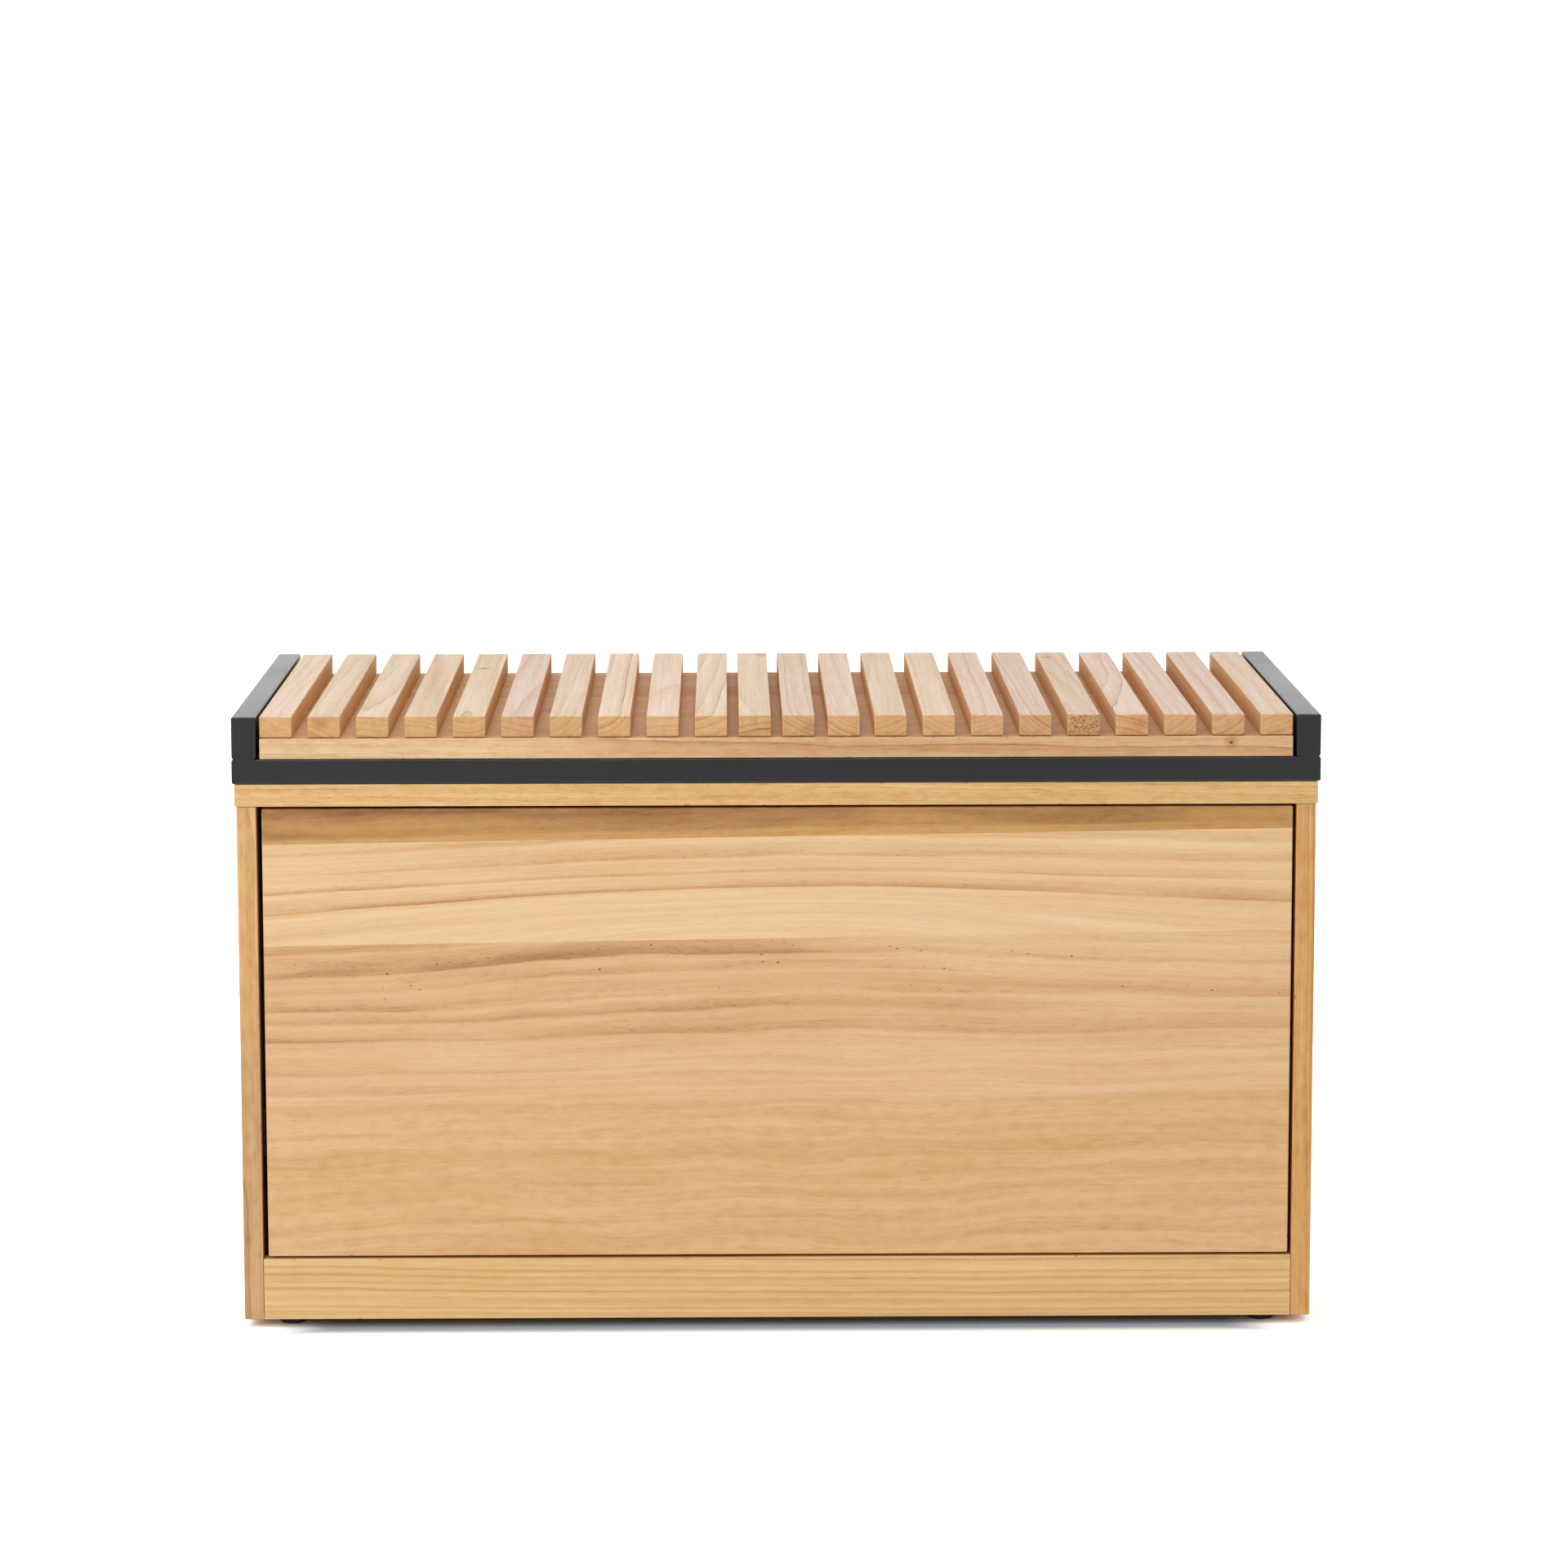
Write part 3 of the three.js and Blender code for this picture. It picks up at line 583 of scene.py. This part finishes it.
def smooth_tree():
    """Shades smooth everywhere but at edges sharper than 50 degrees."""
    tree = bpy.data.node_groups.new("smooth_faces", "GeometryNodeTree")
    tree.interface.new_socket("Geometry", in_out="INPUT", socket_type="NodeSocketGeometry")
    tree.interface.new_socket("Geometry", in_out="OUTPUT", socket_type="NodeSocketGeometry")
    g = Nodes(tree)
    source = tree.nodes.new("NodeGroupInput").outputs[0]
    faces = g.add("GeometryNodeSetShadeSmooth", {"Geometry": source, "Shade Smooth": True}, domain="FACE")
    sharp = g.math("GREATER_THAN", g.add("GeometryNodeInputMeshEdgeAngle", {}), math.radians(50))
    inputs = {"Geometry": faces, "Selection": sharp, "Shade Smooth": False}
    edges = g.add("GeometryNodeSetShadeSmooth", inputs, domain="EDGE")
    tree.links.new(edges, tree.nodes.new("NodeGroupOutput").inputs[0])
    return tree


OUTER_EDGES, SMOOTH_FACES = outer_edge_tree(), smooth_tree()
FAR = 9.0  # a bound that no edge lies on


def soften(node, width, segments=2, along=None):
    """Rounds a node's outer edges. With along, only those that run along that axis."""
    obj = bpy.data.objects[node]
    low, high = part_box(node)
    if along is not None:
        low[along], high[along] = -FAR, FAR
    obj.modifiers.new("weld", "WELD").merge_threshold = 0.01 * MM
    flat = obj.modifiers.new("flatten", "DECIMATE")
    flat.decimate_type = "DISSOLVE"
    flat.angle_limit = math.radians(1)
    pick = obj.modifiers.new("pick", "NODES")
    pick.node_group = OUTER_EDGES
    for item in OUTER_EDGES.interface.items_tree:
        if item.in_out == "INPUT" and item.name in ("Low", "High"):
            pick[item.identifier] = tuple(low if item.name == "Low" else high)
    bevel = obj.modifiers.new("bevel", "BEVEL")
    bevel.width = width
    bevel.segments = segments
    bevel.limit_method = "WEIGHT"
    bevel.use_clamp_overlap = False
    obj.modifiers.new("smooth", "NODES").node_group = SMOOTH_FACES
    obj.modifiers.new("normals", "WEIGHTED_NORMAL").keep_sharp = True


def rounding():
    for node in ("side_panel_left", "side_panel_right", "top_board", "front_bottom_rail", "back_bottom_rail",
                 "back_panel", "bottom_board", "seat_board", "drawer_inner_front", "drawer_side_left",
                 "drawer_side_right", "drawer_bottom", "drawer_back"):
        soften(node, BOARD_ROUND)
    soften("drawer_front", FRONT_ROUND, 3)
    for node in SLATS:
        soften(node, SLAT_ROUND)
    for side, along in TUBES.items():
        soften(f"frame_tube_{side}", TUBE_ROUND, 3, along)
    for side in WAYS:
        soften(f"end_bar_{side}", TUBE_ROUND, 3)


# ---- New pieces

def tube_faces(rings, count, first=0):
    """The faces between rings of count points, and the two that close their ends."""
    faces = []
    for ring in range(rings - 1):
        near, far = first + ring * count, first + (ring + 1) * count
        faces += [(near + i, near + (i + 1) % count, far + (i + 1) % count, far + i) for i in range(count)]
    end = first + (rings - 1) * count
    return faces + [tuple(first + i for i in reversed(range(count))), tuple(end + i for i in range(count))]


def piece(name, points, faces, body, material, replaces=()):
    mesh = bpy.data.meshes.new(name)
    mesh.from_pydata(points, [], faces)
    mesh.polygons.foreach_set("use_smooth", [True] * len(mesh.polygons))
    mesh.materials.append(material)
    obj = bpy.data.objects.new(name, mesh)
    bpy.context.scene.collection.objects.link(obj)
    obj.modifiers.new("smooth", "NODES").node_group = SMOOTH_FACES
    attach(obj, body)
    if replaces:
        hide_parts(*replaces)


# A ground seam's section: its depth from the face and its height from the seam's middle, both in mm. It
# stands a little proud of the face and reaches into the groove between the two tubes.
SEAM_SECTION = [(-0.04, 0.0), (-0.03, 1.1), (0.0, 1.86), (0.7, 1.3), (1.7, 0.25),
                (1.7, -0.25), (0.7, -1.3), (0.0, -1.86), (-0.03, -1.1)]


def weld(name, rings, flip, coat):
    if flip:
        rings = rings[::-1]
    points = [point for ring in rings for point in ring]
    piece(name, points, tube_faces(len(rings), len(rings[0])), "carcass", coat)


def weld_seam(end, side, coat):
    """The seam where an end bar stands on the lower frame, from its inner side to near its outer one."""
    face, way = ENDS[end], WAYS[side]
    tube_low, tube_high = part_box("frame_tube_front")
    bar_low, bar_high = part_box(f"end_bar_{side}")
    seam = (bar_low.z + tube_high.z) / 2
    inner, outer = (bar_high.x, bar_low.x) if way < 0 else (bar_low.x, bar_high.x)
    rings = []
    for step in range(SEAM_STEPS + 1):
        share = step / SEAM_STEPS
        x = inner + (outer - inner) * (0.03 + 0.91 * share)
        close = min(1.0, 0.25 + 6 * share, 0.25 + 6 * (1 - share))
        swell = 1 + 0.05 * noise.noise(Vector((x * 400, face, 0.0)))
        ring = []
        for depth, height in SEAM_SECTION:
            inward = depth * (close if depth > 0 else swell) * MM
            ring.append((x, face * (-tube_low.y - inward), seam + height * close * MM))
        rings.append(ring)
    weld(f"weld_seam_{end}_{side}", rings, way * face > 0, coat)


def weld_corner(end, side, coat):
    """The bead up a mitred corner of the lower frame."""
    face, way = ENDS[end], WAYS[side]
    low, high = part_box("frame_tube_front")
    rings = []
    for step in range(SEAM_STEPS + 1):
        share = step / SEAM_STEPS
        z = low.z + (high.z - low.z) * (0.08 + 0.84 * share)
        close = min(1.0, 0.4 + 5 * share, 0.4 + 5 * (1 - share))
        radius = BEAD_RADIUS * close * (1 + 0.1 * noise.noise(Vector((way * 7, face, z * 500))))
        ring = []
        for corner in range(BEAD_SIDES):
            angle = math.tau * corner / BEAD_SIDES
            x = high.x - BEAD_RADIUS + radius * math.cos(angle)
            y = -low.y - BEAD_RADIUS + radius * math.sin(angle)
            ring.append((way * x, face * y, z))
        rings.append(ring)
    weld(f"weld_corner_{end}_{side}", rings, way * face < 0, coat)


def welds(coat):
    for side in WAYS:
        for end in ENDS:
            weld_seam(end, side, coat)
            weld_corner(end, side, coat)


def cross_outline(length, width):
    """A cross-shaped recess, with as many points as a screw's rim has."""
    middle = (length + width) / 2
    quarter = [(length, 0.0), (length, width), (middle, width),
               (width, width), (width, middle), (width, length)]
    points = []
    for c, s in ((1, 0), (0, 1), (-1, 0), (0, -1)):
        points += [(c * x - s * y, s * x + c * y) for x, y in quarter]
    return points


def screw_heads(name, places, axis, radius, height, body, material, shank=0.0, replaces=()):
    """Pan-head screws with a cross recess, as one mesh. Each place is the middle of a head's underside."""
    axis = Vector(axis)
    across = axis.orthogonal().normalized()
    other = axis.cross(across)

    def rim(share):
        angles = [math.tau * i / SCREW_SIDES for i in range(SCREW_SIDES)]
        return [(share * radius * math.cos(angle), share * radius * math.sin(angle)) for angle in angles]

    recess = cross_outline(0.5 * radius, 0.12 * radius)
    bottom = [(0.7 * x, 0.7 * y) for x, y in recess]
    levels = [(rim(1.0), 0.0), (rim(1.0), 0.35 * height), (rim(0.93), 0.7 * height),
              (rim(0.75), 0.95 * height), (recess, height), (bottom, 0.35 * height)]
    if shank:
        levels = [(rim(0.4), -shank), (rim(0.4), 0.0)] + levels
    points, faces = [], []
    for place in places:
        faces += tube_faces(len(levels), SCREW_SIDES, len(points))
        turn = rng.uniform(0, math.tau)
        c, s = math.cos(turn), math.sin(turn)
        for ring, level in levels:
            centre = Vector(place) + axis * level
            points += [tuple(centre + across * (c * x - s * y) + other * (s * x + c * y)) for x, y in ring]
    piece(name, points, faces, body, material, replaces)


def fixings(zinc):
    """Finer screws for the drawer front, and the screws of the latches and runners."""
    for number in range(1, 5):
        node = f"front_screw_{number}"
        low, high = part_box(node)
        middle = (low + high) / 2
        place = (middle.x, high.y - FRONT_SCREW_HEAD, middle.z)
        radius = (high.x - low.x) / 2
        screw_heads(f"front_screw_detail_{number}", [place], (0, 1, 0), radius, FRONT_SCREW_HEAD, "drawer",
                    zinc, shank=place[1] - low.y, replaces=(node,))
    for side, way in WAYS.items():
        low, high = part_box(f"latch_body_{side}")
        middle = (low + high) / 2
        places = [(middle.x + offset, high.y - LATCH_FLANGE, middle.z)
                  for offset in (-LATCH_SCREW_OFFSET, LATCH_SCREW_OFFSET)]
        screw_heads(f"latch_screws_{side}", places, (0, -1, 0), *LATCH_SCREW, "carcass", zinc)
        for member, body, inward in (("cabinet", "carcass", -way), ("drawer", "drawer", way)):
            low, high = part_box(f"runner_{member}_{side}")
            x = (high.x if inward < 0 else low.x) + inward * RUNNER_SHEET
            z = (low.z + high.z) / 2
            places = [(x, low.y + share * (high.y - low.y), z) for share in RUNNER_SCREW_PLACES]
            screw_heads(f"runner_screws_{member}_{side}", places, (inward, 0, 0), *RUNNER_SCREW, body, zinc)


# ---- Stage, lights and camera

# The floor's seen colour: dark blue-grey next to the box, as painted shadow, and overexposed white away from
# it.
PAINTED_SHADOW_TONE, FLOOR_WHITE = (0.34, 0.41, 0.5, 1.0), (2.2, 2.2, 2.2, 1.0)


def link(obj):
    bpy.context.scene.collection.objects.link(obj)
    return obj


def stage_floor():
    """An overexposed white floor, with a painted shadow where it meets the box: there its colour is darker
    and bluer.
    """
    corners = [(x * FLOOR_REACH, y * FLOOR_REACH, 0.0) for x, y in ((-1, -1), (1, -1), (1, 1), (-1, 1))]
    mesh = bpy.data.meshes.new("floor")
    mesh.from_pydata(corners, [], [(0, 1, 2, 3)])
    material = bpy.data.materials.new("floor_white")
    material.use_nodes = True
    tree = material.node_tree
    tree.nodes.clear()
    g = Nodes(tree)
    half_width, half_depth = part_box("side_panel_right")[1].xy
    x, y, _ = g.split(g.vector("ABSOLUTE", g.place()))
    # The painted shadow reaches a third as far past the sides as past the front and back.
    outside = g.math("MAXIMUM", g.math("MULTIPLY_ADD", x, 3.0, -3.0 * half_width),
                     g.math("SUBTRACT", y, half_depth))
    share = g.math("MAXIMUM", g.smooth(outside, SHADOW_START, SHADOW_END),
                   g.smooth(x, SHADOW_WEAK, SHADOW_WEAKEST, 0.0, 0.8))
    seen = g.add("ShaderNodeBsdfDiffuse", {"Color": g.mix(share, PAINTED_SHADOW_TONE, FLOOR_WHITE)})
    lit = g.add("ShaderNodeBsdfDiffuse", {"Color": (0.85, 0.85, 0.85, 1.0)})
    camera_ray = g.add("ShaderNodeLightPath", {}, "Is Camera Ray")
    surface = g.add("ShaderNodeMixShader", {0: camera_ray, 1: lit, 2: seen})
    tree.links.new(surface, tree.nodes.new("ShaderNodeOutputMaterial").inputs[0])
    mesh.materials.append(material)
    link(bpy.data.objects.new("floor", mesh))


def surround():
    """A white world, brightest behind the box."""
    world = bpy.data.worlds.new("surround")
    world.use_nodes = True
    tree = world.node_tree
    tree.nodes.clear()
    g = Nodes(tree)
    direction = g.add("ShaderNodeTexCoord", {}, "Generated")
    behind = g.smooth(g.split(direction)[1], 0.1, 0.85, WORLD_FRONT, WORLD_BACK)
    strength = g.choose(g.add("ShaderNodeLightPath", {}, "Is Camera Ray"), behind, WORLD_SEEN)
    background = g.add("ShaderNodeBackground", {"Color": (1.0, 1.0, 1.0, 1.0), "Strength": strength})
    tree.links.new(background, tree.nodes.new("ShaderNodeOutputWorld").inputs[0])
    bpy.context.scene.world = world


def area_light(name, place, size, power):
    light = bpy.data.lights.new(name, "AREA")
    light.shape = "DISK"
    light.size = size
    light.energy = power
    obj = link(bpy.data.objects.new(name, light))
    obj.location = place
    obj.rotation_euler = (Vector(AIM) - Vector(place)).to_track_quat("-Z", "Y").to_euler()
    obj.visible_camera = False


def camera(place, yaw, pitch, roll, lens):
    """Looks along +Y, then turned in degrees: right by yaw, down by pitch, its right side raised by roll."""
    yaw, pitch, roll = (math.radians(angle) for angle in (yaw, pitch, roll))
    ahead = Vector((math.sin(yaw) * math.cos(pitch), math.cos(yaw) * math.cos(pitch), -math.sin(pitch)))
    right = Vector((math.cos(yaw), -math.sin(yaw), 0.0))
    up = right.cross(ahead)
    right, up = math.cos(roll) * right + math.sin(roll) * up, math.cos(roll) * up - math.sin(roll) * right
    data = bpy.data.cameras.new("camera")
    data.lens = lens
    data.clip_end = 200.0
    obj = link(bpy.data.objects.new("camera", data))
    obj.matrix_world = Matrix((right, up, -ahead)).transposed().to_4x4()
    obj.location = place
    bpy.context.scene.camera = obj


woodwork()
screw_zinc = hardware()
rounding()
welds(coated_metal("weld_coat"))
fixings(screw_zinc)
stage_floor()
surround()
area_light("overhead", (-0.4, -0.3, 3.0), 2.6, 34.0)
area_light("key_left", (-2.6, -3.4, 2.4), 2.0, 50.0)
camera((-0.0468, -4.7857, 1.1631), 0.674, 8.184, -0.091, lens=114.6)
bpy.context.scene.view_settings.view_transform = "Standard"
